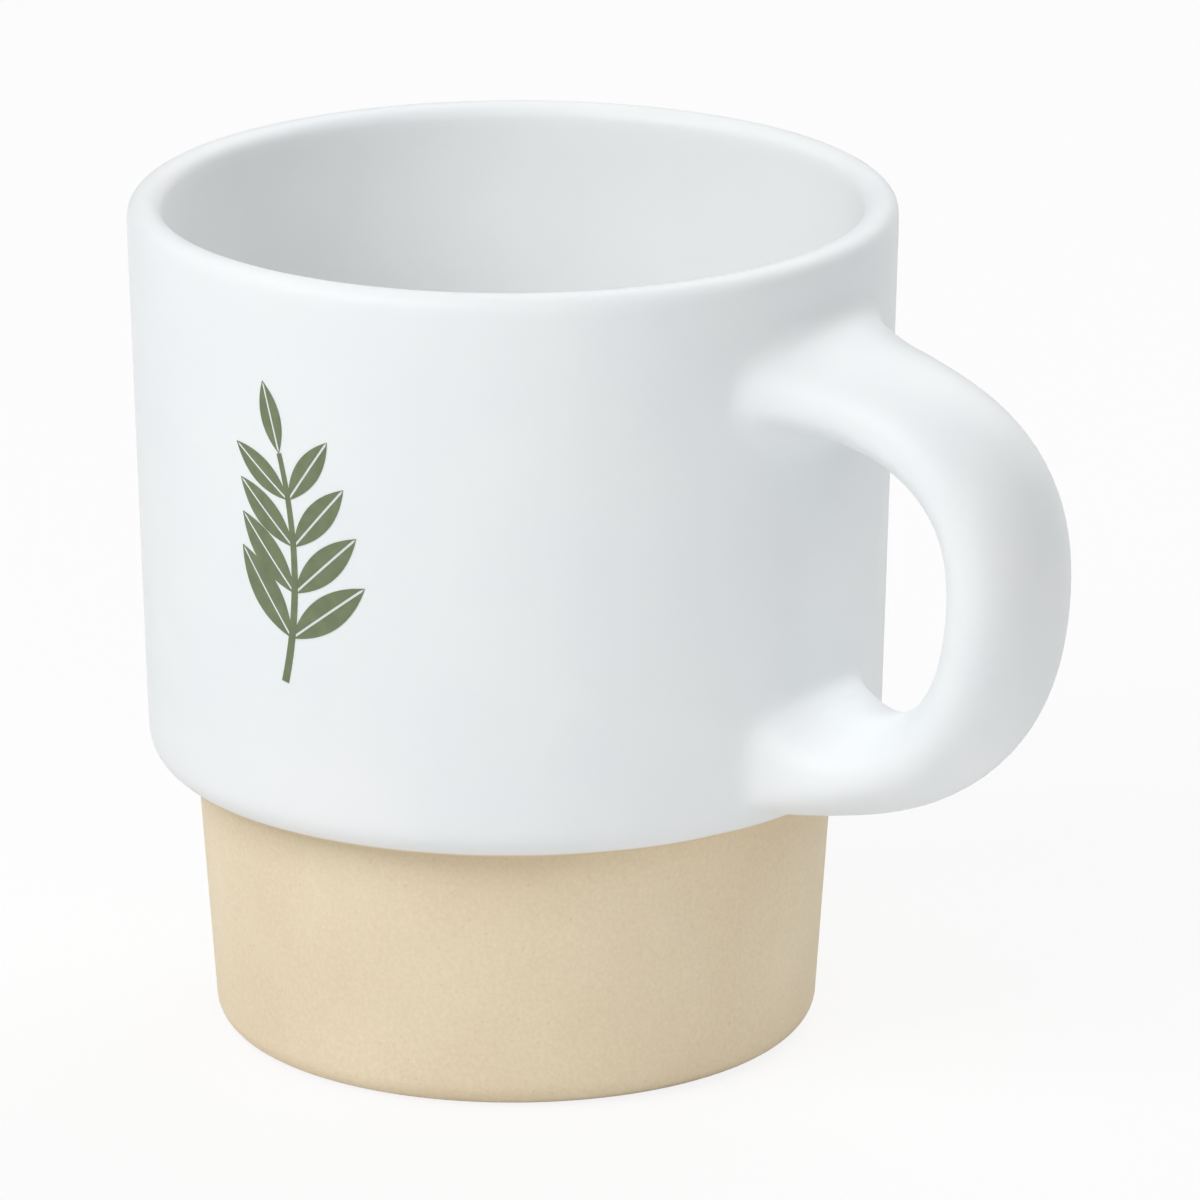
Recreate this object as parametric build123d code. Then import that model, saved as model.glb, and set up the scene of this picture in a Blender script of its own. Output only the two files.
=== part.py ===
"""Stackable stoneware mug: a white glazed cup on a narrower bare clay base, with a luted C handle.

Frame: millimetres, +Z up, origin on the mug's axis at the plane the foot stands on,
handle along +X.  The print is on the side that faces -Y.
"""
from build123d import *
from math import atan2, cos, degrees, radians, sin, sqrt
import os

# ---------------------------------------------------------------- driving dimensions, mm
# cup, measured over the glaze
RIM_DIAMETER = 82.0
OVERALL_HEIGHT = 91.5
LIP_THICKNESS = 3.8
SHOULDER_DIAMETER = 78.8        # widest place at the bottom of the glazed wall
SHOULDER_ROUND = 3.9
STEP_HEIGHT = 29.7              # underside of the shoulder above the table
GLAZE_THICKNESS = 0.4
GLAZE_LINE_ANGLE = 66.0         # degrees below horizontal, on the shoulder's round, where the glaze stops

# bare base, measured on the clay
BASE_TOP_DIAMETER = 68.4
BASE_FOOT_DIAMETER = 64.4
FOOT_ROUND = 3.0
FOOT_RING_INNER_DIAMETER = 50.0
FOOT_RECESS_DEPTH = 1.6
FOOT_RECESS_SLOPE = 2.0

# inside of the clay
WALL_THICKNESS = 3.4            # clay in the cup's wall at the shoulder
BASE_WALL_THICKNESS = 4.2
FLOOR_THICKNESS = 4.4           # above the recess
INNER_STEP_ROUND = 6.0
INNER_FLOOR_ROUND = 9.0

# handle, measured over the glaze
HANDLE_REACH = 64.1             # axis of the mug to the middle of the handle's back
UPPER_ARM_HEIGHT = 78.3         # middle of the upper arm where it leaves the wall
LOWER_ARM_HEIGHT = 36.4         # middle of the lower arm where it leaves the wall
BACK_HEIGHT = 60.0              # height at which the back is furthest out
HANDLE_WIDTH = 17.8             # across, along Y
HANDLE_THICKNESS = 10.0
ARM_DROOP = 2.5                 # degrees by which both arms point down as they leave the wall
UPPER_ARM_PULL = 12.2           # lengths of the curve's four pulls: how far it keeps each direction
UPPER_BACK_PULL = 14.2
LOWER_BACK_PULL = 16.2
LOWER_ARM_PULL = 17.9
ROOT_FLARE = 6.0                # radius of the wiped clay round each root
SLIP_LAYER = 0.3                # slip between the handle's ends and the wall

# print
PRINT_HEIGHT = 60.0             # middle of the print above the table
PRINT_THICKNESS = 0.1
STEM_LENGTH = 25.0
STEM_BOW = 1.6                  # how far the stem bends out of straight
STEM_WIDTH = 0.9
LEAF_PAIRS = 4
LEAF_LENGTH = 12.0
LEAF_WIDTH = 4.8
LEAF_ANGLE = 44.0               # degrees between a leaf and the stem
LEAF_TAPER = 0.35               # how much shorter the last leaves are than the first

FLARE_CREASE = 12.0             # degrees at which the wiped clay meets the handle's sides
FLARE_STEPS = 6                 # ovals that shape the flare outside the wall
EMBED = 2.0                     # how far the handle's curve starts inside the wall, before it is trimmed

# ---------------------------------------------------------------- worked-out sizes
RIM_R = RIM_DIAMETER / 2
SHOULDER_R = SHOULDER_DIAMETER / 2
LIP_R = LIP_THICKNESS / 2
LIP_Z = OVERALL_HEIGHT - LIP_R
SHOULDER_Z = STEP_HEIGHT + SHOULDER_ROUND
BASE_TOP_R = BASE_TOP_DIAMETER / 2
BASE_FOOT_R = BASE_FOOT_DIAMETER / 2


def wall_radius(z):
    """Outside radius of the glazed wall at a height."""
    share = (z - SHOULDER_Z) / (LIP_Z - SHOULDER_Z)
    return SHOULDER_R + (RIM_R - SHOULDER_R) * share


def cup_profile(skin):
    """Half section of the cup and base, taken a skin's thickness inside the glazed surface.

    The outer wall, shoulder, lip and inside all move by the skin; the bare base does not.
    """
    lip_r = LIP_R - skin
    inner_rim_r = RIM_R - LIP_THICKNESS + skin
    inner_shoulder_r = SHOULDER_R - GLAZE_THICKNESS - WALL_THICKNESS - GLAZE_THICKNESS + skin
    inner_base_top_r = BASE_TOP_R - BASE_WALL_THICKNESS - GLAZE_THICKNESS + skin
    inner_base_foot_r = BASE_FOOT_R - BASE_WALL_THICKNESS - GLAZE_THICKNESS + skin
    floor_z = FOOT_RECESS_DEPTH + FLOOR_THICKNESS + GLAZE_THICKNESS - skin
    inner_step_z = SHOULDER_Z + INNER_STEP_ROUND / 2
    inner_base_z = inner_step_z - (inner_shoulder_r - inner_base_top_r)
    with BuildSketch(Plane.XZ) as profile:
        with BuildLine():
            wall = Line((SHOULDER_R - skin, SHOULDER_Z), (RIM_R - skin, LIP_Z))
            lip = ThreePointArc(wall @ 1, (RIM_R - LIP_R, LIP_Z + lip_r), (inner_rim_r, LIP_Z))
            inside = FilletPolyline(
                lip @ 1,
                (inner_shoulder_r, inner_step_z),
                (inner_base_top_r, inner_base_z),
                (inner_base_foot_r, floor_z),
                (0, floor_z),
                radius=[INNER_STEP_ROUND, INNER_STEP_ROUND, INNER_FLOOR_ROUND],
            )
            recess_r = FOOT_RING_INNER_DIAMETER / 2
            underside = Polyline(
                inside @ 1,
                (0, FOOT_RECESS_DEPTH),
                (recess_r - FOOT_RECESS_SLOPE, FOOT_RECESS_DEPTH),
                (recess_r, 0),
                (BASE_FOOT_R - FOOT_ROUND, 0),
            )
            lean = (BASE_TOP_R - BASE_FOOT_R) / STEP_HEIGHT
            foot_top_r = BASE_FOOT_R + lean * FOOT_ROUND
            foot = TangentArc(underside @ 1, (foot_top_r, FOOT_ROUND), tangent=(1, 0))
            step_z = STEP_HEIGHT + skin
            base = Polyline(foot @ 1, (BASE_FOOT_R + lean * step_z, step_z), (SHOULDER_R - SHOULDER_ROUND, step_z))
            RadiusArc(base @ 1, wall @ 0, -(SHOULDER_ROUND - skin))
        make_face()
    return profile.sketch


def revolved(profile):
    return revolve(profile, Axis.Z, 360)


def make_glaze_limit():
    """The space under the shoulder that stays bare, as a ring to cut away."""
    centre_r = SHOULDER_R - SHOULDER_ROUND
    reach = 3 * SHOULDER_ROUND
    inner_r = BASE_TOP_R - GLAZE_THICKNESS
    outer = (
        centre_r + reach * cos(radians(GLAZE_LINE_ANGLE)),
        SHOULDER_Z - reach * sin(radians(GLAZE_LINE_ANGLE)),
    )
    with BuildSketch(Plane.XZ) as ring:
        with BuildLine():
            Polyline((centre_r, SHOULDER_Z), outer, (inner_r, outer[1]), (inner_r, SHOULDER_Z), close=True)
        make_face()
    return revolved(ring.sketch)


def handle_curve():
    """Middle line of the handle: two tangent curves that meet at the back."""
    droop = radians(ARM_DROOP)
    upper_root = Vector(wall_radius(UPPER_ARM_HEIGHT) - EMBED, 0, UPPER_ARM_HEIGHT)
    lower_root = Vector(wall_radius(LOWER_ARM_HEIGHT) - EMBED, 0, LOWER_ARM_HEIGHT)
    back = Vector(HANDLE_REACH, 0, BACK_HEIGHT)
    outward = Vector(cos(droop), 0, -sin(droop))
    up = Vector(0, 0, 1)
    upper = Bezier(
        upper_root, upper_root + outward * UPPER_ARM_PULL, back + up * UPPER_BACK_PULL, back
    )
    lower = Bezier(
        back, back - up * LOWER_BACK_PULL, lower_root + outward * LOWER_ARM_PULL, lower_root
    )
    return Wire([upper.edge(), lower.edge()])


def make_handle_bar(skin):
    """The handle's oval bar, a skin's thickness inside its glazed surface."""
    curve = handle_curve()
    start = Plane(origin=curve @ 0, x_dir=(0, 1, 0), z_dir=curve % 0)
    oval = start * Ellipse(HANDLE_WIDTH / 2 - skin, HANDLE_THICKNESS / 2 - skin)
    return sweep(oval, path=curve).solid()


def flare_growth(run, flare):
    """How far a round flare stands out where its centre is still this run away."""
    run = min(max(run, 0), flare)
    crease = flare * (1 - cos(radians(FLARE_CREASE)))
    return flare - sqrt(flare ** 2 - run ** 2) - crease


def make_root_flare(upper, skin):
    """Trumpet of wiped clay round one root, a skin's thickness inside the glazed surface.

    The upper one, at the curve's start, opens all round, and upwards only as far as the lip lets it.
    The lower one stands at the shoulder, so it opens upwards and sideways and its underside is the bar's.
    """
    curve = handle_curve()
    half_width = HANDLE_WIDTH / 2 - skin
    half_thickness = HANDLE_THICKNESS / 2 - skin
    wall_r = wall_radius(UPPER_ARM_HEIGHT if upper else LOWER_ARM_HEIGHT) - skin
    room_above = LIP_Z - UPPER_ARM_HEIGHT - HANDLE_THICKNESS / 2
    flare = ROOT_FLARE + skin
    top_flare = min(ROOT_FLARE, room_above) + skin if upper else flare
    side_centre = sqrt((wall_r + flare) ** 2 - (half_width + flare) ** 2) - wall_r
    outside = [flare * (1 - sin(radians(90 * i / FLARE_STEPS))) for i in range(FLARE_STEPS + 1)]
    ovals = []
    for distance in outside + [skin - EMBED]:
        share = (EMBED - skin + distance) / curve.length
        place = share if upper else 1 - share
        side = half_width + flare_growth(side_centre - distance, flare)
        top = half_thickness + flare_growth(top_flare - distance, top_flare)
        bottom = half_thickness + (flare_growth(flare - distance, flare) if upper else -SLIP_LAYER)
        across = Vector(0, 1, 0)
        normal = curve % place
        upward = normal.cross(across) if upper else across.cross(normal)
        section = Plane(origin=curve @ place + upward * (top - bottom) / 2, x_dir=across, z_dir=normal)
        ovals.append(section * Ellipse(side, (top + bottom) / 2))
    return loft(ovals).solid()


def make_leaf(length):
    """One pointed leaf lying along +X from the origin."""
    width = LEAF_WIDTH * length / LEAF_LENGTH
    with BuildSketch() as leaf:
        with BuildLine():
            ThreePointArc((0, 0), (length / 2, width / 2), (length, 0))
            ThreePointArc((length, 0), (length / 2, -width / 2), (0, 0))
        make_face()
    return leaf.sketch


def make_sprig():
    """Flat outline of the printed sprig: a bowed stem, pairs of leaves and one leaf at the tip."""
    half = STEM_LENGTH / 2
    stem = ThreePointArc((0, -half), (STEM_BOW, 0), (0, half))
    sprig = SlotArc(stem, STEM_WIDTH)
    for pair in range(LEAF_PAIRS):
        share = (pair + 1) / (LEAF_PAIRS + 1)
        length = LEAF_LENGTH * (1 - LEAF_TAPER * share)
        heading = degrees(atan2((stem % share).Y, (stem % share).X))
        for side in (-1, 1):
            place = Pos(stem @ share) * Rot(0, 0, heading + side * LEAF_ANGLE)
            sprig += place * make_leaf(length)
    tip_heading = degrees(atan2((stem % 1).Y, (stem % 1).X))
    tip = Pos(stem @ 1) * Rot(0, 0, tip_heading)
    return sprig + tip * make_leaf(LEAF_LENGTH * (1 - LEAF_TAPER))


def make_print():
    """The sprig as a thin layer of ceramic ink on the glazed wall, on the side that faces -Y."""
    with BuildSketch(Plane.XZ) as band:
        with BuildLine():
            low, high = SHOULDER_Z, LIP_Z
            Polyline(
                (wall_radius(low), low),
                (wall_radius(low) + PRINT_THICKNESS, low),
                (wall_radius(high) + PRINT_THICKNESS, high),
                (wall_radius(high), high),
                close=True,
            )
        make_face()
    outline = Plane(origin=(0, 0, PRINT_HEIGHT), x_dir=(1, 0, 0), z_dir=(0, -1, 0)) * make_sprig()
    return extrude(outline, RIM_DIAMETER) & revolved(band.sketch)


def make_mug():
    """Every piece of the mug, by node name."""
    clay = revolved(cup_profile(GLAZE_THICKNESS))
    slip_face = revolved(cup_profile(GLAZE_THICKNESS - SLIP_LAYER))
    handle = make_handle_bar(GLAZE_THICKNESS) - slip_face
    upper_luting = make_root_flare(True, GLAZE_THICKNESS) - clay - handle
    lower_luting = make_root_flare(False, GLAZE_THICKNESS) - clay - handle
    dipped = revolved(cup_profile(0)) + make_handle_bar(0)
    dipped = dipped + make_root_flare(True, 0) + make_root_flare(False, 0)
    glaze = dipped - clay - handle - upper_luting - lower_luting - make_glaze_limit()
    return {
        "stoneware_body": clay,
        "handle": handle,
        "upper_luting_clay": upper_luting,
        "lower_luting_clay": lower_luting,
        "glaze_coat": glaze,
        "printed_sprig": make_print(),
    }


if __name__ == "__main__":
    os.makedirs("parts", exist_ok=True)
    for name, shape in make_mug().items():
        export_step(shape, f"parts/{name}.step")
        print(name, len(shape.solids()), round(shape.volume, 1))
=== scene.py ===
# %% [markdown]
# # A stackable stoneware mug
# The mug is one fired vessel with a handle luted on. A white satin matt glaze covers the cup, the
# handle and the inside, and the narrow base is bare sandy clay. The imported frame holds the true
# sizes, so it is loaded first and every piece is laid over it.

# %% Load the frame
import bpy, bmesh
from math import atan2, cos, pi, radians, sin, sqrt
from mathutils import Matrix, Vector


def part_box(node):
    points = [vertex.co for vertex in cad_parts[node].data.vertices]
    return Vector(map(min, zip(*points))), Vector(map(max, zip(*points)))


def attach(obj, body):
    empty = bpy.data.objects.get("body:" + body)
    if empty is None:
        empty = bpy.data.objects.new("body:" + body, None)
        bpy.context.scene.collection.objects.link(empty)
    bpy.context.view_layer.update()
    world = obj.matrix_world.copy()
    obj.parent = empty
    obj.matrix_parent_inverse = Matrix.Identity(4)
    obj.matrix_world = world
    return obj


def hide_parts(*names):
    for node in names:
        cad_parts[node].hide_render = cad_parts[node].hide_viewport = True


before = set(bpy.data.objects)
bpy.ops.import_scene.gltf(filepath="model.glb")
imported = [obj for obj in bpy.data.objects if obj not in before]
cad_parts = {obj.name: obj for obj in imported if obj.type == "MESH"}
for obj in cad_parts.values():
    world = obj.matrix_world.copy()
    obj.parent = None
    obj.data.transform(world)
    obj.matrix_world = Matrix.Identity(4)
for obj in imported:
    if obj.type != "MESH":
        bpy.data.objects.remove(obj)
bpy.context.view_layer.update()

MM = 0.001

# %% [markdown]
# ## Sizes
# The outline is the frame's own: the rim, the height and the reach of the handle are read from the
# nodes' boxes. The other sizes are the ones that a potter would give: wall, shoulder, foot.

# %% Read the sizes
clay_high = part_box("stoneware_body")[1]
glaze_low, glaze_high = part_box("glaze_coat")
RIM_R = -glaze_low.x
HEIGHT = glaze_high.z
HANDLE_BACK_X = glaze_high.x
GLAZE = RIM_R - clay_high.x
LIP_R = 1.9 * MM                            # half the wall, so the lip is a full round
SHOULDER_R = 39.4 * MM
SHOULDER_ROUND = 3.9 * MM
STEP_Z = 29.45 * MM                         # where the bare base meets the wide cup
SHOULDER_Z = STEP_Z + SHOULDER_ROUND
LIP_Z = HEIGHT - LIP_R
BASE_TOP_R = 34.2 * MM
BASE_FOOT_R = 32.2 * MM
FOOT_ROUND = 3.0 * MM
print("rim radius", RIM_R, "height", HEIGHT, "glaze", GLAZE)


def wall_radius(z):
    """Outside radius of the glazed wall at a height."""
    return SHOULDER_R + (RIM_R - SHOULDER_R) * (z - SHOULDER_Z) / (LIP_Z - SHOULDER_Z)


# %% [markdown]
# ## Helpers for modelling by hand
# Operators act on everything that is selected, so each step starts from a clean selection. An
# outline is drawn as a chain of points and spun about the mug's axis.

# %% Selection, outlines and finishing
def deselect():
    if bpy.context.object and bpy.context.object.mode != "OBJECT":
        bpy.ops.object.mode_set(mode="OBJECT")
    bpy.ops.object.select_all(action="DESELECT")


def make_active(obj):
    deselect()
    bpy.context.view_layer.objects.active = obj
    obj.select_set(True)
    return obj


def arc(centre, radius, start, end, steps):
    """Points of an arc in the outline's plane, from one angle to another, in degrees."""
    turns = [radians(start + (end - start) * i / steps) for i in range(steps + 1)]
    return [(centre[0] + radius * cos(t), centre[1] + radius * sin(t)) for t in turns]


def run(start, end, steps):
    """Evenly spaced points between two points, without the two ends."""
    return [(start[0] + (end[0] - start[0]) * i / steps, start[1] + (end[1] - start[1]) * i / steps)
            for i in range(1, steps)]


def chain(name, outline):
    """A new object that holds one open outline of (radius, height) points in the XZ plane."""
    deselect()
    mesh = bpy.data.meshes.new(name)
    obj = bpy.data.objects.new(name, mesh)
    bpy.context.scene.collection.objects.link(obj)
    mesh.from_pydata([(r, 0, z) for r, z in outline], [(i, i + 1) for i in range(len(outline) - 1)], [])
    return make_active(obj)


def spin(obj, steps):
    """Turns the outline once round the mug's axis and closes the seam and the poles."""
    bpy.ops.object.mode_set(mode="EDIT")
    bpy.ops.mesh.select_all(action="SELECT")
    bpy.ops.mesh.spin(steps=steps, angle=2 * pi, center=(0, 0, 0), axis=(0, 0, 1))
    bpy.ops.mesh.select_all(action="SELECT")
    bpy.ops.mesh.remove_doubles(threshold=0.005 * MM)
    bpy.ops.mesh.normals_make_consistent(inside=False)
    bpy.ops.object.mode_set(mode="OBJECT")
    return obj


def add_modifier(obj, kind, **settings):
    """Adds one modifier with its settings and applies it."""
    make_active(obj)
    modifier = obj.modifiers.new(kind.title(), kind)
    for key, value in settings.items():
        setattr(modifier, key, value)
    bpy.ops.object.modifier_apply(modifier=modifier.name)
    return obj


def place_piece(obj, slot, *nodes):
    """Hangs a finished piece on the mug's one body, hides the frame's nodes that it stands for and
    prints its face count.
    """
    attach(obj, "root")
    if nodes:
        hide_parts(*nodes)
    print(obj.name, len(obj.data.polygons), "faces")
    return obj


# %% [markdown]
# ## The clay vessel
# The vessel is thrown or jiggered in one piece: a wide cup, a soft shoulder, a tapered base and a
# foot ring with a shallow recess under it. Its outline is spun in fine steps, because the bare base
# is seen close up and its edge must be truly round. Only the base shows; the rest is under glaze.

# %% The inside, shared by the clay and the glaze that lies on it
FLOOR_Z = 6.4 * MM                          # glazed floor inside the cup
FLOOR_R = 19.2 * MM                         # flat part of the floor
FLOOR_ROUND = 9.0 * MM
LOW_WALL = ((28.2 * MM, 14.6 * MM), (29.2 * MM, 27.6 * MM))
INNER_STEP = (                              # radius and height in mm, where the narrow base widens
    (29.25, 27.8),
    (29.6, 29.6),
    (30.4, 31.4),
    (31.9, 33.2),
    (33.5, 34.9),
    (34.6, 36.7),
    (35.1, 38.6),
)


def inside_outline(skin):
    """From the middle of the floor up to the lip, a skin's thickness under the glazed surface."""
    floor = FLOOR_Z - skin
    (low_r, low_z), (high_r, high_z) = LOW_WALL
    points = [(0, floor)] + run((0, floor), (FLOOR_R, floor), 6)
    points += arc((FLOOR_R, FLOOR_Z + FLOOR_ROUND), FLOOR_ROUND + skin, -90, -5, 8)
    points += run((low_r + skin, low_z), (high_r + skin, high_z), 4)
    points += [(radius * MM + skin, height * MM) for radius, height in INNER_STEP]
    points += run(points[-1], (RIM_R - 2 * LIP_R + skin, LIP_Z), 12)
    return points


print("inside outline", len(inside_outline(0)), "points")

# %% [markdown]
# The outside goes down from the lip, round the shoulder and in to the narrow base, and ends under the
# foot. The foot stands on a ring, so that a warped floor can't make the mug rock.

# %% Spin the clay vessel
CLAY_STEPS = 192
shoulder_centre = (SHOULDER_R - SHOULDER_ROUND, SHOULDER_Z)
lip_centre = (RIM_R - LIP_R, LIP_Z)
clay_round = SHOULDER_ROUND - GLAZE
lean = (BASE_TOP_R - BASE_FOOT_R) / STEP_Z
CORNER_ROUND = 0.8 * MM                     # soft inner corner where the base meets the shoulder
step_z = STEP_Z + GLAZE
base_top_r = BASE_FOOT_R + lean * step_z
foot_side_r = BASE_FOOT_R + lean * FOOT_ROUND
foot_centre = (foot_side_r - FOOT_ROUND, FOOT_ROUND)
RING_INNER_R = 25.4 * MM
RING_ROUND = 1.0 * MM
RECESS_Z = 1.6 * MM
RECESS_R = RING_INNER_R - 1.2 * MM
ring_centre = (RING_INNER_R + RING_ROUND, RING_ROUND)

clay_outline = inside_outline(GLAZE)
clay_outline += arc(lip_centre, LIP_R - GLAZE, 180, 0, 10)
clay_outline += run((RIM_R - GLAZE, LIP_Z), (SHOULDER_R - GLAZE, SHOULDER_Z), 10)
clay_outline += arc(shoulder_centre, clay_round, 0, -90, 12)
clay_outline += arc((base_top_r + CORNER_ROUND, step_z - CORNER_ROUND), CORNER_ROUND, 90, 176, 6)
clay_outline += run((base_top_r, step_z - CORNER_ROUND), (foot_side_r, FOOT_ROUND), 14)
clay_outline += arc(foot_centre, FOOT_ROUND, 0, -90, 12)
clay_outline += run((foot_centre[0], 0), (ring_centre[0], 0), 3)
clay_outline += arc(ring_centre, RING_ROUND, 270, 190, 5)
clay_outline += [(RECESS_R, RECESS_Z)] + run((RECESS_R, RECESS_Z), (0, RECESS_Z), 6) + [(0, RECESS_Z)]
clay_body = spin(chain("clay_vessel", clay_outline), CLAY_STEPS)
make_active(clay_body)
bpy.ops.object.shade_smooth_by_angle(angle=radians(50))
place_piece(clay_body, "bare_stoneware", "stoneware_body")

# %% [markdown]
# ## The glaze coat
# The glaze is one skin over the inside, the lip, the wall, the handle and the wiped clay round the
# handle's roots. Its wall is spun first, in steps that leave a window of faces at each root. The
# windows are opened and their edges carried out along the handle, ring by ring. Each root's rings
# follow a ball that rolls in the corner between wall and handle, which is how a finger or a wet
# sponge wipes the clay there.

# %% The handle's curve
HALF_WIDTH = 8.9 * MM
BACK_X = 64.1 * MM                          # middle of the handle's back
HALF_THICK = HANDLE_BACK_X - BACK_X
BACK = Vector((BACK_X, 0, 60.0 * MM))
UPPER_ARM_Z = 78.3 * MM
LOWER_ARM_Z = 36.4 * MM
DROOP = radians(2.5)                        # how far both arms fall as they leave the wall
EMBED = 2.0 * MM                            # how deep the curve starts in the wall
UPPER_PULL, LOWER_PULL = 12.2 * MM, 17.9 * MM       # how far each arm runs straight out
RISE_PULL, FALL_PULL = 14.2 * MM, 16.2 * MM         # how upright the back is above and below
upper_root = Vector((wall_radius(UPPER_ARM_Z) - EMBED, 0, UPPER_ARM_Z))
lower_root = Vector((wall_radius(LOWER_ARM_Z) - EMBED, 0, LOWER_ARM_Z))
outward = Vector((cos(DROOP), 0, -sin(DROOP)))
up = Vector((0, 0, 1))
UPPER = (upper_root, upper_root + outward * UPPER_PULL, BACK + up * RISE_PULL, BACK)
LOWER = (lower_root, lower_root + outward * LOWER_PULL, BACK - up * FALL_PULL, BACK)


def curve_point(pulls, t):
    """Point and heading on one of the handle's two curves, from its root at 0 to the back at 1."""
    a, b, c, d = pulls
    s = 1 - t
    point = a * s**3 + b * 3 * s * s * t + c * 3 * s * t * t + d * t**3
    heading = (b - a) * 3 * s * s + (c - b) * 6 * s * t + (d - c) * 3 * t * t
    return point, heading.normalized()


def curve_height(pulls, x):
    """Height of an arm's middle line where it is this far from the mug's axis."""
    low, high = 0.0, 0.8
    for _ in range(30):
        middle = (low + high) / 2
        low, high = (middle, high) if curve_point(pulls, middle)[0].x < x else (low, middle)
    return curve_point(pulls, low)[0].z


print("roots", upper_root, lower_root, "back", BACK)

# %% [markdown]
# ## The roots of the handle
# A bar that is pressed onto a wall spreads a little, so its section grows towards the wall. A wet
# sponge or a finger then wipes the corner round. A ball of that radius is rolled round each root, and
# the arcs between its two touching points are the rings that the glaze and the clay share.

# %% The rings of a root
RING_POINTS = 36
BLEND_STEPS = 6
SIDE_RUN, TOP_RUN = 12.5 * MM, 9.0 * MM      # the bar grows over these runs towards the wall
UPPER_GROWTH = (3.0 * MM, 0.9 * MM, 0.3)    # of each side, of the top, and squarer than an ellipse
LOWER_GROWTH = (1.1 * MM, 2.2 * MM, 0.9)
UPPER_WIPES = (3.3 * MM, 3.4 * MM, 4.8 * MM)    # wiped corner's radius at the side, above and below
LOWER_WIPES = (2.8 * MM, 3.0 * MM, 2.0 * MM)    # the shoulder leaves little room under the lower arm
STEP, TURN_STEP = 0.05 * MM, 0.01           # small steps that give the bar's slope at a point
ROLL_ROUNDS = 12                            # rounds until the ball rests on both surfaces


def near_wall(x, length):
    """1 on the wall, falling softly to 0 where the bar has its even section."""
    return min(max(1 - (x - RIM_R) / length, 0), 1.2) ** 2


def section(x, growth, turn):
    """Sideways and upright place on the bar's section, which is fuller near the wall."""
    side_growth, top_growth, square = growth
    power = 2 + square * near_wall(x, TOP_RUN)
    full = (abs(cos(turn)) ** power + abs(sin(turn)) ** power) ** (-1 / power)
    rise = top_growth * near_wall(x, TOP_RUN) if sin(turn) > 0 else 0.0
    sideways = (HALF_WIDTH + side_growth * near_wall(x, SIDE_RUN)) * cos(turn) * full
    return sideways, (HALF_THICK + rise) * sin(turn) * full


def bar_place(pulls, growth, x, turn):
    """Point on the bar's surface at a distance from the mug's axis and a turn round its section."""
    sideways, upright = section(x, growth, turn)
    return Vector((x, sideways, curve_height(pulls, x) + upright))


def touch_surface(centre, radius):
    """Moves a ball's centre out from the axis until it rests on the wall or the shoulder's round.

    Returns the centre and the point where it touches.
    """
    if centre.z >= SHOULDER_Z:
        surface_r = wall_radius(centre.z)
        ball_r = surface_r + radius
        touch_z = centre.z
    else:
        drop = SHOULDER_Z - centre.z
        reach = SHOULDER_ROUND + radius
        side = sqrt(reach**2 - drop**2)
        ball_r = shoulder_centre[0] + side
        surface_r = shoulder_centre[0] + side * SHOULDER_ROUND / reach
        touch_z = SHOULDER_Z - drop * SHOULDER_ROUND / reach
    x = sqrt(ball_r**2 - centre.y**2)
    ball = Vector((x, centre.y, centre.z))
    share = surface_r / ball_r
    return ball, Vector((x * share, centre.y * share, touch_z))


def root_rings(pulls, growth, wipes, skin=0.0):
    """Rings from the wall to the bar round one root, a skin's thickness under the glazed surface."""
    rings = [[] for _ in range(BLEND_STEPS + 1)]
    for k in range(RING_POINTS):
        turn = 2 * pi * k / RING_POINTS
        upright = wipes[1] if sin(turn) > 0 else wipes[2]
        radius = wipes[0] + (upright - wipes[0]) * sin(turn) ** 2
        x = RIM_R + radius
        for _ in range(ROLL_ROUNDS):
            contact = bar_place(pulls, growth, x, turn)
            along = bar_place(pulls, growth, x + STEP, turn) - bar_place(pulls, growth, x - STEP, turn)
            round_it = (bar_place(pulls, growth, x, turn + TURN_STEP)
                        - bar_place(pulls, growth, x, turn - TURN_STEP))
            side = round_it.cross(along).normalized()
            ball, touch = touch_surface(contact + side * radius, radius)
            x += (ball.x - side.x * radius - x) * 0.8
        start, end = (touch - ball).normalized(), -side
        angle = start.angle(end)
        for ring in range(BLEND_STEPS + 1):
            share = ring / BLEND_STEPS
            spoke = (start * sin(angle * (1 - share)) + end * sin(angle * share)) / sin(angle)
            rings[ring].append(ball + spoke * (radius + skin))
    return rings


upper_rings = root_rings(UPPER, UPPER_GROWTH, UPPER_WIPES)
lower_rings = root_rings(LOWER, LOWER_GROWTH, LOWER_WIPES)
for name, rings in (("upper", upper_rings), ("lower", lower_rings)):
    heights = [p.z / MM for p in rings[0]]
    sides = [p.y / MM for p in rings[0]]
    ends = [p.x / MM for p in rings[-1]]
    print(name, "root: low", min(heights), "high", max(heights), "wide", max(sides))
    print(name, "root ends", min(ends), max(ends))

# %% [markdown]
# ## The glazed wall
# Dipping leaves an even coat that ends in a soft bead on the shoulder's round. The outline runs from
# that bead up the wall, over the lip and down to the middle of the floor. Its rows are set by the
# heights of the two roots, so that each window is a clean block of faces.

# %% Spin the glazed surface
WALL_STEPS = 96
COLUMNS = 5                                 # window columns each side of the handle's plane
ROWS = 8
EDGE_ANGLE = 70                             # degrees down the shoulder's round, where the glaze ends
WINDOW_EDGE = 46                            # the same for the lower window's lower side
ROUND_ROWS = 3                              # rows of the lower window that lie on the round
BEAD = ((1.0, -0.05), (0.5, 0.14), (-1.0, 0.28), (-4.0, 0.37))  # degrees past the edge, mm of coat
BEAD_TOP = EDGE_ANGLE - 10.0                # from here up the coat has its full thickness
upper_low = min(p.z for p in upper_rings[0])
upper_high = max(p.z for p in upper_rings[0])
lower_high = max(p.z for p in lower_rings[0])


def wall_point(z):
    return (wall_radius(z), z)


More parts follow.
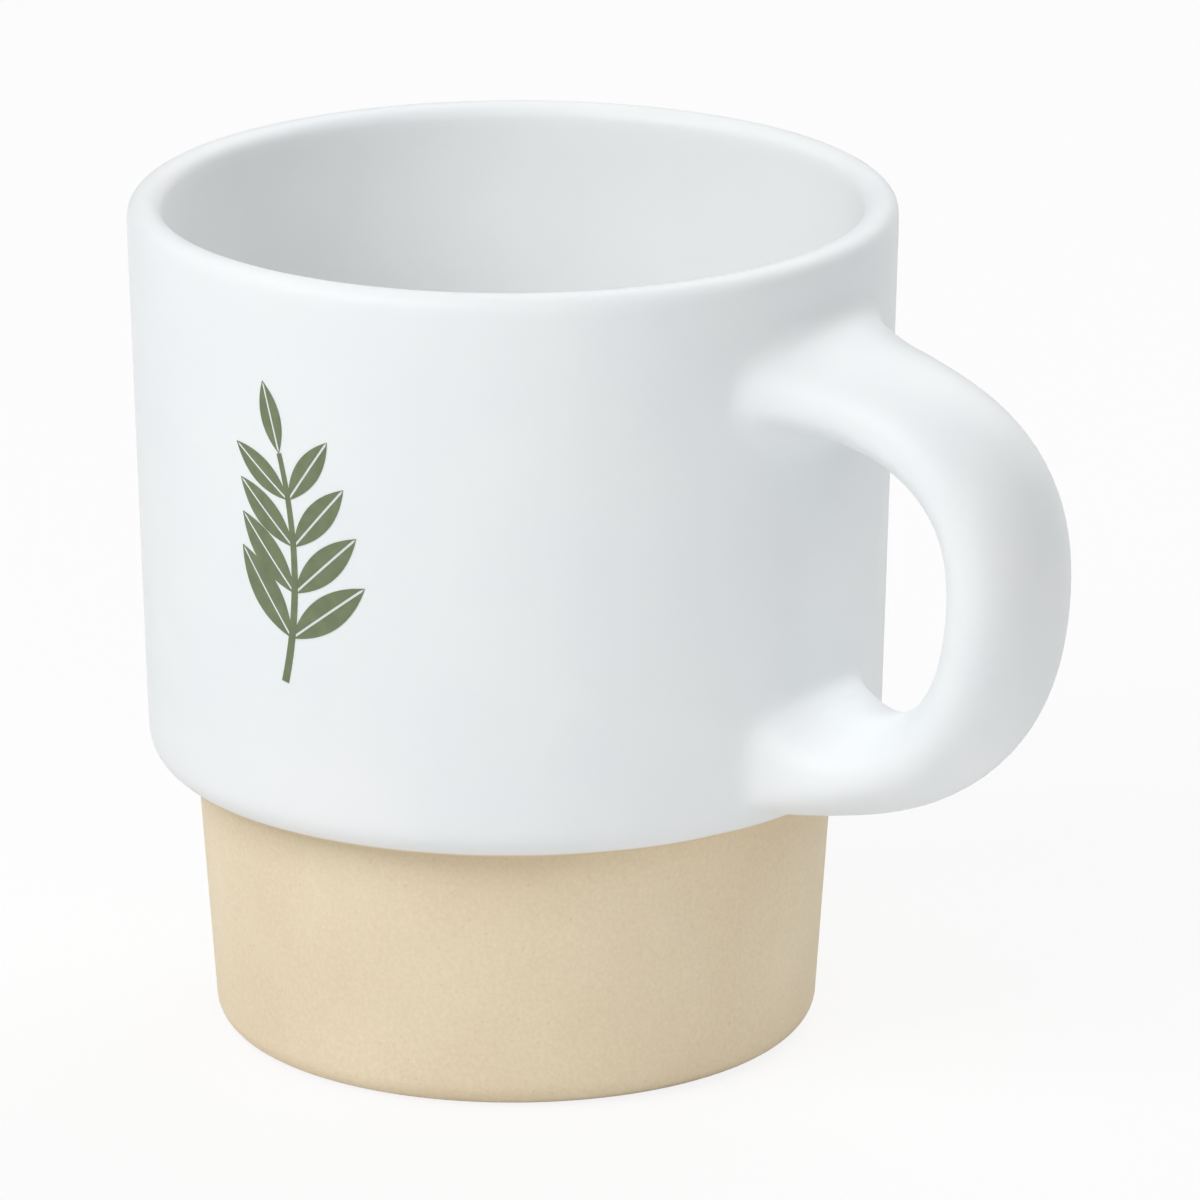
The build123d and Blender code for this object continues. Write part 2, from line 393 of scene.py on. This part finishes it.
def edge_point(down, radius):
    """Point this far down the shoulder's round, in degrees, at a distance from the round's centre."""
    turn = radians(-down)
    return shoulder_centre[0] + radius * cos(turn), SHOULDER_Z + radius * sin(turn)


glaze_edge = [edge_point(EDGE_ANGLE + past, clay_round + coat * MM) for past, coat in BEAD]
glaze_edge.append(edge_point(BEAD_TOP, SHOULDER_ROUND))
glaze_outline = glaze_edge + arc(shoulder_centre, SHOULDER_ROUND, -WINDOW_EDGE, 0, ROUND_ROWS)
glaze_outline += run(wall_point(SHOULDER_Z), wall_point(lower_high), ROWS - ROUND_ROWS)
glaze_outline += [wall_point(lower_high)]
glaze_outline += run(wall_point(lower_high), wall_point(upper_low), 7) + [wall_point(upper_low)]
glaze_outline += run(wall_point(upper_low), wall_point(upper_high), ROWS) + [wall_point(upper_high)]
glaze_outline += arc(lip_centre, LIP_R, 0, 180, 8) + inside_outline(0)[::-1]
glaze = spin(chain("glaze_skin", glaze_outline), WALL_STEPS)
print("glaze wall", len(glaze.data.polygons), "faces")

# %% [markdown]
# The windows are opened where the roots go. Each window's edge is a rectangle of grid points, which
# is pulled to the oval of the first ring, and the wall's points round it are eased so that the faces
# stay even. Every eased point is put back on the wall's own surface.

# %% Open the windows
column_angle = 2 * pi / WALL_STEPS
WALL_DEPTH = 1.5 * MM                       # faces deeper than this belong to the inside of the cup
EASE_DEPTH = 1.2 * MM
EASE_REACH = 9 * MM                         # the wall is eased this far above and below a window
EASE_SIDE = 26 * MM                         # and this far to each side of the handle's plane
EASE_ROUNDS = 12
HAIR = 0.1 * MM


def surface_x(y, z):
    """Distance from the axis plane of the glazed wall or shoulder at a place."""
    if z >= SHOULDER_Z:
        radius = wall_radius(z)
    else:
        radius = shoulder_centre[0] + sqrt(max(SHOULDER_ROUND**2 - (SHOULDER_Z - z) ** 2, 0))
    return sqrt(radius**2 - y**2)


def window_loop(rows):
    """Angle and height of the window's edge points, from the middle of its +Y side upwards."""
    middle = ROWS // 2
    loop = [(COLUMNS, row) for row in range(middle, ROWS)]
    loop += [(column, ROWS) for column in range(COLUMNS, -COLUMNS, -1)]
    loop += [(-COLUMNS, row) for row in range(ROWS, 0, -1)]
    loop += [(column, 0) for column in range(-COLUMNS, COLUMNS)]
    loop += [(COLUMNS, row) for row in range(0, middle)]
    return [(column * column_angle, rows[row]) for column, row in loop]


def nearest(bm, point):
    return min(bm.verts, key=lambda v: (v.co - point).length_squared)


def open_window(rows, ring):
    """Deletes a window's faces, pulls its edge to the ring and gives the edge's places in order."""
    bpy.ops.object.mode_set(mode="EDIT")
    bpy.ops.mesh.select_mode(type="FACE")
    bpy.ops.mesh.select_all(action="DESELECT")
    bm = bmesh.from_edit_mesh(glaze.data)
    for face in bm.faces:
        middle = face.calc_center_median()
        angle = atan2(middle.y, middle.x)
        outside = middle.xy.length > wall_radius(max(middle.z, SHOULDER_Z)) - WALL_DEPTH
        inside_window = rows[0] < middle.z < rows[-1] and abs(angle) < COLUMNS * column_angle
        if outside and inside_window:
            face.select_set(True)
    bmesh.update_edit_mesh(glaze.data)
    bpy.ops.mesh.delete(type="FACE")
    bpy.ops.mesh.select_mode(type="VERT")
    bm = bmesh.from_edit_mesh(glaze.data)
    loop = []
    for angle, z in window_loop(rows):
        radius = surface_x(0, z)
        loop.append(nearest(bm, Vector((radius * cos(angle), radius * sin(angle), z))))
    for vertex, place in zip(loop, ring):
        vertex.co = place
    pinned = set(loop)
    low, high = max(rows[0] - EASE_REACH, SHOULDER_Z - HAIR), min(rows[-1] + EASE_REACH, LIP_Z - HAIR)
    near = [v for v in bm.verts if v not in pinned and v.co.x > 0 and abs(v.co.y) < EASE_SIDE
            and low < v.co.z < high and v.co.xy.length > wall_radius(v.co.z) - EASE_DEPTH]
    for _ in range(EASE_ROUNDS):
        moves = {}
        for v in near:
            neighbours = [e.other_vert(v).co for e in v.link_edges]
            moves[v] = sum(neighbours, Vector()) / len(neighbours)
        for v, place in moves.items():
            y = v.co.y + (place.y - v.co.y) * 0.5
            z = max(v.co.z + (place.z - v.co.z) * 0.5, SHOULDER_Z)
            v.co = Vector((surface_x(y, z), y, z))
    bmesh.update_edit_mesh(glaze.data)
    bm.verts.index_update()
    places = [v.co.copy() for v in loop]
    bpy.ops.object.mode_set(mode="OBJECT")
    return places


make_active(glaze)
downs = [WINDOW_EDGE * (ROUND_ROWS - i) / ROUND_ROWS for i in range(ROUND_ROWS + 1)]
lower_rows = [SHOULDER_Z + SHOULDER_ROUND * sin(radians(-down)) for down in downs]
wall_rows = ROWS - ROUND_ROWS
lower_rows += [SHOULDER_Z + (lower_high - SHOULDER_Z) * i / wall_rows for i in range(1, wall_rows + 1)]
upper_rows = [upper_low + (upper_high - upper_low) * i / ROWS for i in range(ROWS + 1)]
lower_edge = open_window(lower_rows, lower_rings[0])
upper_edge = open_window(upper_rows, upper_rings[0])
print("windows opened", len(glaze.data.polygons), "faces left")

# %% [markdown]
# The handle grows out of the upper window. Its edge is extruded ring by ring: first the rings of the
# root, then ovals square to the handle's curve, then the lower root's rings in reverse order, and
# the last ring is merged with the lower window's edge.

# %% Carry the rings along the handle
STATIONS = 24
SAMPLES = 300                               # points on each curve, from which the stations are picked
REACH_STEPS = 4
CLEAR = 1.6 * MM                            # from the root's last ring to the first even oval


def handle_path(first_skip, last_skip):
    """Points and headings at even steps of length, between a skip at each end."""
    samples = [curve_point(UPPER, i / SAMPLES) for i in range(SAMPLES + 1)]
    for i in range(1, SAMPLES + 1):
        point, heading = curve_point(LOWER, 1 - i / SAMPLES)
        samples.append((point, -heading))
    lengths = [0.0]
    for (here, _), (there, _) in zip(samples, samples[1:]):
        lengths.append(lengths[-1] + (there - here).length)
    path = []
    for k in range(STATIONS):
        target = first_skip + (lengths[-1] - first_skip - last_skip) * k / (STATIONS - 1)
        path.append(samples[next(j for j, length in enumerate(lengths) if length >= target)])
    return path


def path_oval(point, heading):
    """The oval's upward side starts up at the upper root and keeps to the outside of the bend."""
    across = Vector((0, 1, 0))
    outside = heading.cross(across).normalized()
    flipped = point.z < BACK.z
    growth = LOWER_GROWTH if flipped else UPPER_GROWTH
    ring = []
    for k in range(RING_POINTS):
        turn = 2 * pi * k / RING_POINTS
        sideways, upright = section(point.x, growth, -turn if flipped else turn)
        ring.append(point + across * sideways + outside * (-upright if flipped else upright))
    return ring


def flip(ring):
    """The same ring counted with its upper and lower sides exchanged."""
    return [ring[-k] for k in range(RING_POINTS)]


def reach_rings(pulls, growth, ring, first_oval):
    """Rings that lie on the bar between a root's last ring and the first even oval."""
    between = []
    for step in range(1, REACH_STEPS):
        share = step / REACH_STEPS
        places = []
        for k, (start, end) in enumerate(zip(ring, first_oval)):
            x = start.x + (end.x - start.x) * share
            places.append(bar_place(pulls, growth, x, 2 * pi * k / RING_POINTS))
        between.append(places)
    return between


first_skip = max(p.x for p in upper_rings[-1]) - upper_root.x + CLEAR
last_skip = max(p.x for p in lower_rings[-1]) - lower_root.x + CLEAR
ovals = [path_oval(point, heading) for point, heading in handle_path(first_skip, last_skip)]
all_rings = upper_rings[1:] + reach_rings(UPPER, UPPER_GROWTH, upper_rings[-1], ovals[0]) + ovals
lower_reach = reach_rings(LOWER, LOWER_GROWTH, lower_rings[-1], flip(ovals[-1]))
all_rings += [flip(r) for r in lower_reach[::-1]] + [flip(r) for r in lower_rings[::-1][:-1]]
print(len(all_rings), "rings along the handle")


def select_loop(bm, *loops):
    """Selects only the edges of closed loops of vertices."""
    for edge in bm.edges:
        edge.select = False
    for vertex in bm.verts:
        vertex.select = False
    for loop in loops:
        for here, there in zip(loop, loop[1:] + loop[:1]):
            bm.edges.get((here, there)).select_set(True)


def carry_rings(obj, start, targets):
    """Extrudes the loop at the start's places through each ring, and gives the last loop's places."""
    places = start
    for target in targets:
        bm = bmesh.from_edit_mesh(obj.data)
        loop = [nearest(bm, place) for place in places]
        marks = [vertex.index for vertex in loop]
        select_loop(bm, loop)
        bmesh.update_edit_mesh(obj.data)
        bpy.ops.mesh.extrude_edges_move(TRANSFORM_OT_translate={"value": (0, 0, 0)})
        bm = bmesh.from_edit_mesh(obj.data)
        bm.verts.ensure_lookup_table()
        for mark, place in zip(marks, target):
            old = bm.verts[mark]
            fresh = next(e.other_vert(old) for e in old.link_edges if e.other_vert(old).select)
            fresh.co = place
        bmesh.update_edit_mesh(obj.data)
        places = target
    return places


def bridge(obj, first, second):
    """Closes the surface between two open loops and turns all faces outwards."""
    bm = bmesh.from_edit_mesh(obj.data)
    select_loop(bm, [nearest(bm, place) for place in first], [nearest(bm, place) for place in second])
    bmesh.update_edit_mesh(obj.data)
    bpy.ops.mesh.bridge_edge_loops()
    bpy.ops.mesh.select_all(action="SELECT")
    bpy.ops.mesh.normals_make_consistent(inside=False)


make_active(glaze)
bpy.ops.object.mode_set(mode="EDIT")
bpy.ops.mesh.select_mode(type="VERT")
handle_end = carry_rings(glaze, upper_edge, all_rings)
bridge(glaze, handle_end, lower_edge)
bpy.ops.object.mode_set(mode="OBJECT")
print("glaze surface", len(glaze.data.polygons), "faces")

# %% [markdown]
# ## The coat's thickness
# One round of subdivision makes the surface smooth, and the coat is then grown inwards, because the
# surface so far is the outside of the glaze.

# %% Round the surface and give the coat its thickness
add_modifier(glaze, "SUBSURF", levels=1, render_levels=1)
add_modifier(glaze, "SOLIDIFY", thickness=GLAZE, offset=-1, use_even_offset=True)
make_active(glaze)
bpy.ops.object.shade_smooth()
place_piece(glaze, "white_glaze", "glaze_coat")

# %% [markdown]
# ## The luting clay
# Under the glaze, a soft roll of clay closes the corner between the bar and the wall. It follows
# the same rings a glaze's thickness deeper, and its back is closed inside the joint.

# %% Wipe the clay round both roots
BURIED = 1.2 * MM                           # how deep the clay's back lies in the joint
BACK_SHARE = 0.8                            # size of the closed back against the bar's section
BACK_REACH = 2 * MM


def luting_clay(name, pulls, growth, wipes, node):
    """One closed roll of clay from the wall to the bar, round one root."""
    rings = root_rings(pulls, growth, wipes, GLAZE)
    inner = []
    for place in (rings[-1], rings[0]):
        middle = Vector((0, 0, curve_height(pulls, RIM_R + BACK_REACH)))
        back = []
        for k, point in enumerate(place):
            turn = 2 * pi * k / RING_POINTS
            bar = middle + Vector((0, HALF_WIDTH * cos(turn), HALF_THICK * sin(turn))) * BACK_SHARE
            back.append(Vector((point.x - (BURIED if place is rings[0] else 0), bar.y, bar.z)))
        inner.append(back)
    deselect()
    bpy.ops.mesh.primitive_circle_add(vertices=RING_POINTS)
    obj = bpy.context.object
    obj.name = name
    for vertex, place in zip(obj.data.vertices, rings[0]):
        vertex.co = place
    bpy.ops.object.mode_set(mode="EDIT")
    last = carry_rings(obj, rings[0], rings[1:] + inner)
    bridge(obj, last, rings[0])
    bpy.ops.object.mode_set(mode="OBJECT")
    add_modifier(obj, "SUBSURF", levels=1, render_levels=1)
    bpy.ops.object.shade_smooth()
    return place_piece(obj, "luting_clay", node)


upper_clay = luting_clay("upper_wiped_clay", UPPER, UPPER_GROWTH, UPPER_WIPES, "upper_luting_clay")
lower_clay = luting_clay("lower_wiped_clay", LOWER, LOWER_GROWTH, LOWER_WIPES, "lower_luting_clay")

# %% [markdown]
# ## The printed sprig
# The print is a fired decal, a skin of ceramic ink on the glaze. Each leaf is two half blades with an
# unprinted rib between them, and the stem thins towards its tip. The pieces are flat grids that are
# bent onto the wall and given a thickness, most of which is sunk in the glaze.

# %% Sizes of the sprig
PRINT_Z = 60.0 * MM
STEM_HALF = 12.5 * MM
STEM_BOW = 1.6 * MM
STEM_WIDTH = 0.9 * MM
LEAF_PAIRS = 4
LEAF_LENGTH = 12.0 * MM
LEAF_WIDTH = 3.9 * MM
LEAF_ANGLE = radians(44)
LEAF_TAPER = 0.35
RIB = 0.26 * MM                             # unprinted line along the middle of a leaf
INK = 0.035 * MM                            # how far the ink stands above the glaze
INK_DEPTH = 0.15 * MM                       # whole thickness, most of it sunk in the glaze
STEM_TAPER = 0.35


def stem_point(share):
    """Place and heading on the bowed stem, in the flat print."""
    turn = 2 * atan2(STEM_BOW, STEM_HALF)
    radius = STEM_HALF / sin(turn)
    angle = turn * (2 * share - 1)
    return (radius * cos(angle) - radius * cos(turn), radius * sin(angle)), pi / 2 + angle


def wrap(flat):
    """A place of the flat print on the wall, a breath above the glaze."""
    z = PRINT_Z + flat[1]
    radius = wall_radius(z) + INK
    return Vector((flat[0], -sqrt(radius**2 - flat[0] ** 2), z))


def strip(name, columns, rows, shape):
    """A flat grid whose points are placed by a shape of shares along and across."""
    deselect()
    bpy.ops.mesh.primitive_grid_add(x_subdivisions=columns, y_subdivisions=rows, size=2)
    obj = bpy.context.object
    obj.name = name
    for vertex in obj.data.vertices:
        vertex.co = wrap(shape((vertex.co.x + 1) / 2, vertex.co.y))
    return obj


def half_leaf(base, heading, length, side):
    """One half of a pointed leaf, on one side of its unprinted rib."""
    def shape(along, across):
        swell = 4 * along * (1 - along)
        outer = LEAF_WIDTH / 2 * length / LEAF_LENGTH * swell
        inner = min(RIB / 2, outer)
        offset = side * (inner + (outer - inner) * (1 + side * across) / 2)
        x = base[0] + length * along * cos(heading) - offset * sin(heading)
        y = base[1] + length * along * sin(heading) + offset * cos(heading)
        return x, y
    return strip("leaf", 18, 3, shape)


def stem_shape(along, across):
    (x, y), heading = stem_point(along)
    offset = across * STEM_WIDTH / 2 * (1 - STEM_TAPER * along)
    return x - offset * sin(heading), y + offset * cos(heading)


print("leaves", 2 * LEAF_PAIRS + 1, "printed between", PRINT_Z - STEM_HALF, "and", PRINT_Z + STEM_HALF)

# %% [markdown]
# The leaves stand in pairs along the stem and get shorter towards its tip. All the strips are joined
# to one print, as the decal is one sheet of ink, and the coat is grown inwards into the glaze.

# %% Print the sprig
parts = [strip("stem", 40, 2, stem_shape)]
for pair in range(LEAF_PAIRS):
    share = (pair + 1) / (LEAF_PAIRS + 1)
    base, heading = stem_point(share)
    length = LEAF_LENGTH * (1 - LEAF_TAPER * share)
    for side in (-1, 1):
        for half in (-1, 1):
            parts.append(half_leaf(base, heading + side * LEAF_ANGLE, length, half))
base, heading = stem_point(1)
for half in (-1, 1):
    parts.append(half_leaf(base, heading, LEAF_LENGTH * (1 - LEAF_TAPER), half))
deselect()
for part in parts:
    part.select_set(True)
bpy.context.view_layer.objects.active = parts[0]
bpy.ops.object.join()
sprig = bpy.context.object
sprig.name = "olive_sprig"
bpy.ops.object.mode_set(mode="EDIT")
bpy.ops.mesh.select_all(action="SELECT")
bpy.ops.mesh.remove_doubles(threshold=0.004 * MM)
bpy.ops.mesh.dissolve_degenerate(threshold=0.002 * MM)
bpy.ops.object.mode_set(mode="OBJECT")
add_modifier(sprig, "SOLIDIFY", thickness=INK_DEPTH, offset=-1)
place_piece(sprig, "olive_print", "printed_sprig")

# %% [markdown]
# ## Materials
# Each material is one shader with procedural patterns on Object coordinates, so it looks the same
# from every side. One helper adds a node with its settings and links.

# %% Material helpers
def linear(hex_colour):
    """An sRGB hex colour as the linear RGBA that the shader wants."""
    parts = [int(hex_colour[i:i + 2], 16) / 255 for i in (1, 3, 5)]
    return tuple(c / 12.92 if c <= 0.04045 else ((c + 0.055) / 1.055) ** 2.4 for c in parts) + (1.0,)


def add_node(tree, kind, inputs=None, **settings):
    """Adds one node. Inputs are values, or (node, output) pairs that get linked."""
    node = tree.nodes.new(kind)
    for key, value in settings.items():
        setattr(node, key, value)
    for key, value in (inputs or {}).items():
        if isinstance(value, tuple) and isinstance(value[0], bpy.types.Node):
            tree.links.new(value[0].outputs[value[1]], node.inputs[key])
        else:
            node.inputs[key].default_value = value
    return node


def new_material(name):
    material = bpy.data.materials.new(name)
    material.use_nodes = True
    tree = material.node_tree
    return material, tree, tree.nodes["Principled BSDF"], add_node(tree, "ShaderNodeTexCoord")


def set_material(obj, material):
    obj.data.materials.clear()
    obj.data.materials.append(material)


def noise(tree, place, scale, detail):
    """A cloud of noise in the piece's own coordinates, in features to the metre."""
    inputs = {"Vector": (place, "Object"), "Scale": scale, "Detail": detail}
    return add_node(tree, "ShaderNodeTexNoise", inputs)


def two_tone(tree, cloud, low, high):
    """A colour that wanders between two tones, each a (place on the ramp, hex colour) pair."""
    ramp = add_node(tree, "ShaderNodeValToRGB", {"Fac": (cloud, "Fac")})
    for element, (position, colour) in zip(ramp.color_ramp.elements, (low, high)):
        element.position = position
        element.color = linear(colour)
    return ramp


def spread(tree, source, **ends):
    """A value mapped from one range to another."""
    named = {key.replace("_", " ").title(): value for key, value in ends.items()}
    return add_node(tree, "ShaderNodeMapRange", {"Value": source, **named})


def combine(tree, operation, first, second):
    return add_node(tree, "ShaderNodeMath", {0: first, 1: second}, operation=operation)


def blend(tree, factor, first, second):
    """The first colour at 0 and the second at 1."""
    return add_node(tree, "ShaderNodeMix", {"Factor": factor, 6: first, 7: second}, data_type="RGBA")


def bump(tree, source, strength, distance, **inputs):
    inputs.update(Height=(source, "Fac"), Strength=strength, Distance=distance)
    return add_node(tree, "ShaderNodeBump", inputs)


# %% [markdown]
# ### White satin matt glaze
# A zircon-white glaze is nearly even, so two close whites wander slowly through it. Its surface is
# full of tiny crystals, which blur the lamps to a soft sheen. At its lower edge the coat thins out
# and the clay shows through it.

# %% White satin matt glaze
THIN_LOW, THIN_HIGH = 29.95 * MM, 30.5 * MM     # over this height the thin edge lets the clay show
WANDER = 0.08 * MM                              # the dipped line isn't quite level


def make_glaze():
    """Zircon-white satin matt glaze: very even, with a soft sheen; the clay tints its thin edge."""
    material, tree, shader, place = new_material("satin_matt_white_glaze")
    tint = two_tone(tree, noise(tree, place, 45.0, 3.0), (0.3, "#eff3f5"), (0.7, "#f4f6f7"))
    soft = noise(tree, place, 120.0, 1.0)
    grain = bump(tree, noise(tree, place, 1400.0, 2.0), 0.05, 0.00005)
    swell = bump(tree, soft, 0.12, 0.0001, Normal=(grain, "Normal"))
    rough = spread(tree, (soft, "Fac"), to_min=0.46, to_max=0.56)
    axes = add_node(tree, "ShaderNodeSeparateXYZ", {"Vector": (place, "Object")})
    wander = spread(tree, (soft, "Fac"), to_min=-WANDER, to_max=WANDER)
    level = combine(tree, "ADD", (axes, "Z"), (wander, "Result"))
    cover = spread(tree, (level, "Value"), from_min=THIN_LOW, from_max=THIN_HIGH)
    cover.interpolation_type = "SMOOTHSTEP"
    colour = blend(tree, (cover, "Result"), linear("#dcc6a0"), (tint, "Color"))
    tree.links.new(colour.outputs[2], shader.inputs["Base Color"])
    tree.links.new(rough.outputs["Result"], shader.inputs["Roughness"])
    tree.links.new(swell.outputs["Normal"], shader.inputs["Normal"])
    shader.inputs["IOR"].default_value = 1.5
    return material


# %% [markdown]
# ### Bare sandy stoneware
# Unglazed stoneware is dry and slightly rough, so it has almost no shine. Fine sand gives it a
# mottle and a small bump, and a few darker grains are picked out of a cell pattern.

# %% Bare sandy stoneware
def make_clay():
    """Buff stoneware, fired without glaze: dry, fine-grained, with tiny darker and paler grit."""
    material, tree, shader, place = new_material("bare_buff_stoneware")
    base = two_tone(tree, noise(tree, place, 60.0, 4.0), (0.25, "#e9d7b8"), (0.75, "#f0e1c4"))
    cells = {"Vector": (place, "Object"), "Scale": 1300.0, "Randomness": 1.0}
    grit = add_node(tree, "ShaderNodeTexVoronoi", cells)
    dark = spread(tree, (grit, "Distance"), from_min=0.1, from_max=0.3, to_min=1.0, to_max=0.0)
    pick = add_node(tree, "ShaderNodeSeparateColor", {"Color": (grit, "Color")})
    rare = combine(tree, "GREATER_THAN", (pick, "Red"), 0.9)
    fleck = combine(tree, "MULTIPLY", (dark, "Result"), (rare, "Value"))
    weak = combine(tree, "MULTIPLY", (fleck, "Value"), 0.14)
    colour = blend(tree, (weak, "Value"), (base, "Color"), linear("#a58a63"))
    sand = noise(tree, place, 2200.0, 3.0)
    mottle = spread(tree, (sand, "Fac"), from_min=0.3, from_max=0.7, to_min=0.955, to_max=1.03)
    scaled = {0: (colour, 2), "Scale": (mottle, "Result")}
    shade = add_node(tree, "ShaderNodeVectorMath", scaled, operation="SCALE")
    tooth = bump(tree, sand, 0.25, 0.0001)
    tree.links.new(shade.outputs["Vector"], shader.inputs["Base Color"])
    tree.links.new(tooth.outputs["Normal"], shader.inputs["Normal"])
    shader.inputs["Roughness"].default_value = 0.9
    shader.inputs["IOR"].default_value = 1.45
    shader.inputs["Sheen Weight"].default_value = 0.12
    return material


# %% [markdown]
# ### Fired olive print
# Decal ink melts into the glaze and stays a little drier than it. The tone wanders slightly, as
# screened ink does.

# %% Fired olive print
def make_ink():
    """Ceramic decal ink fired into the glaze: flat olive green, a little drier than the glaze."""
    material, tree, shader, place = new_material("fired_olive_print")
    cloud = noise(tree, place, 700.0, 3.0)
    tint = two_tone(tree, cloud, (0.3, "#6c7757"), (0.7, "#788463"))
    tooth = bump(tree, cloud, 0.1, 0.00005)
    tree.links.new(tint.outputs["Color"], shader.inputs["Base Color"])
    tree.links.new(tooth.outputs["Normal"], shader.inputs["Normal"])
    shader.inputs["Roughness"].default_value = 0.6
    return material


# %% [markdown]
# ### One material to each piece
# The vessel, the luting clay and the handle bar are cut from the same clay, so they share it.

# %% Give each piece its material
clay_material = make_clay()
set_material(glaze, make_glaze())
set_material(sprig, make_ink())
for piece in (clay_body, upper_clay, lower_clay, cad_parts["handle"]):
    set_material(piece, clay_material)
print("materials", sorted(material.name for material in bpy.data.materials))

# %% [markdown]
# ## Floor and room
# A pale floor glows a little where the camera sees it, so that it reads as white paper and still
# keeps the mug's shadow. The room is bright to the camera and nearly dark to the mug, so that the
# lamps alone shape it.

# %% Floor and room
FLOOR_REACH = 2.5
FLOOR_GLOW = 0.85                           # share of the floor's own light that the camera sees
ROOM_LIGHT = 0.03                           # strength of the room's light on the mug
bpy.ops.mesh.primitive_circle_add(vertices=96, radius=FLOOR_REACH, fill_type="NGON", location=(0, 0, 0))
floor = bpy.context.object
floor.name = "studio_floor"
floor_material = bpy.data.materials.new("studio_floor_white")
floor_material.use_nodes = True
tree = floor_material.node_tree
paper = tree.nodes["Principled BSDF"]
paper.inputs["Base Color"].default_value = linear("#f2f2f2")
paper.inputs["Roughness"].default_value = 0.9
light_path = add_node(tree, "ShaderNodeLightPath")
glow = add_node(tree, "ShaderNodeEmission", {"Color": (1, 1, 1, 1), "Strength": 1.0})
seen = combine(tree, "MULTIPLY", (light_path, "Is Camera Ray"), FLOOR_GLOW)
layers = {0: (seen, "Value"), 1: (paper, "BSDF"), 2: (glow, "Emission")}
mix = add_node(tree, "ShaderNodeMixShader", layers)
tree.links.new(mix.outputs["Shader"], tree.nodes["Material Output"].inputs["Surface"])
set_material(floor, floor_material)

world = bpy.data.worlds.new("white_room")
bpy.context.scene.world = world
world.use_nodes = True
room = world.node_tree
paths = add_node(room, "ShaderNodeLightPath")
level = spread(room, (paths, "Is Camera Ray"), to_min=ROOM_LIGHT, to_max=1.0)
room.links.new(level.outputs["Result"], room.nodes["Background"].inputs["Strength"])
room.nodes["Background"].inputs["Color"].default_value = (0.97, 0.985, 1.0, 1.0)
print("floor", floor.name, "room", world.name)

# %% [markdown]
# ## Camera
# A long lens keeps the mug's sides nearly straight, as in a product study. The camera stands a
# little above the rim, so that the inside of the cup is seen.

# %% Camera
VIEW_TURN = radians(-53.0)                  # polar angle of the camera about the mug's axis
VIEW_RISE = radians(17.38)
DISTANCE = 1.1549
LENS = 323.0
AIM = Vector((0, 0, 0.045))
YAW, PITCH, ROLL = radians(-0.454), radians(0.064), radians(0.249)
back = Vector((cos(VIEW_RISE) * cos(VIEW_TURN), cos(VIEW_RISE) * sin(VIEW_TURN), sin(VIEW_RISE)))
forward = -back
right = forward.cross(Vector((0, 0, 1))).normalized()
upward = right.cross(forward)
turn = Matrix.Rotation(YAW, 3, upward)
forward, right = turn @ forward, turn @ right
turn = Matrix.Rotation(PITCH, 3, right)
forward, upward = turn @ forward, turn @ upward
turn = Matrix.Rotation(ROLL, 3, forward)
right, upward = turn @ right, turn @ upward
bpy.ops.object.camera_add(location=AIM + back * DISTANCE)
camera = bpy.context.object
facing = Matrix((right, upward, -forward)).transposed().to_4x4()
camera.matrix_world = Matrix.Translation(AIM + back * DISTANCE) @ facing
camera.data.lens = LENS
camera.data.sensor_width = 36.0
camera.data.clip_end = 20.0
bpy.context.scene.camera = camera
print("camera at", camera.location, "lens", LENS)


# %% [markdown]
# ## Lamps
# A strong soft lamp stands high on the left, and weaker ones all round lift the shaded side, the
# handle and the inside. Large lamps give a satin glaze its broad, soft edges between light and dark.

# %% Lamps
def soft_lamp(name, turn, rise, distance, size, power):
    """A square soft lamp that looks at the mug from a turn about its axis and a rise, in degrees."""
    turn, rise = radians(turn), radians(rise)
    place = Vector((cos(rise) * cos(turn), cos(rise) * sin(turn), sin(rise)))
    bpy.ops.object.light_add(type="AREA", location=AIM + place * distance)
    lamp = bpy.context.object
    lamp.name = name
    lamp.data.shape = "SQUARE"
    lamp.data.size = size
    lamp.data.energy = power
    lamp.rotation_euler = (-place).to_track_quat("-Z", "Y").to_euler()
    return lamp


soft_lamp("key_softbox", -110, 40, 1.2, 0.7, 6.6)
soft_lamp("front_softbox", -88, 40, 1.2, 0.7, 2.1)
soft_lamp("camera_side_softbox", -45, 30, 1.3, 0.8, 3.1)
soft_lamp("top_softbox", -90, 75, 1.2, 0.9, 1.2)
soft_lamp("handle_side_fill", 10, 25, 1.4, 0.9, 2.7)
soft_lamp("back_fill", 90, 50, 1.3, 1.0, 6.7)
soft_lamp("low_back_fill", 90, 20, 1.3, 0.8, 3.1)
soft_lamp("far_fill", 180, 40, 1.3, 0.9, 3.4)
bpy.context.scene.view_settings.view_transform = "Standard"
print("lamps", sorted(lamp.name for lamp in bpy.data.lights))
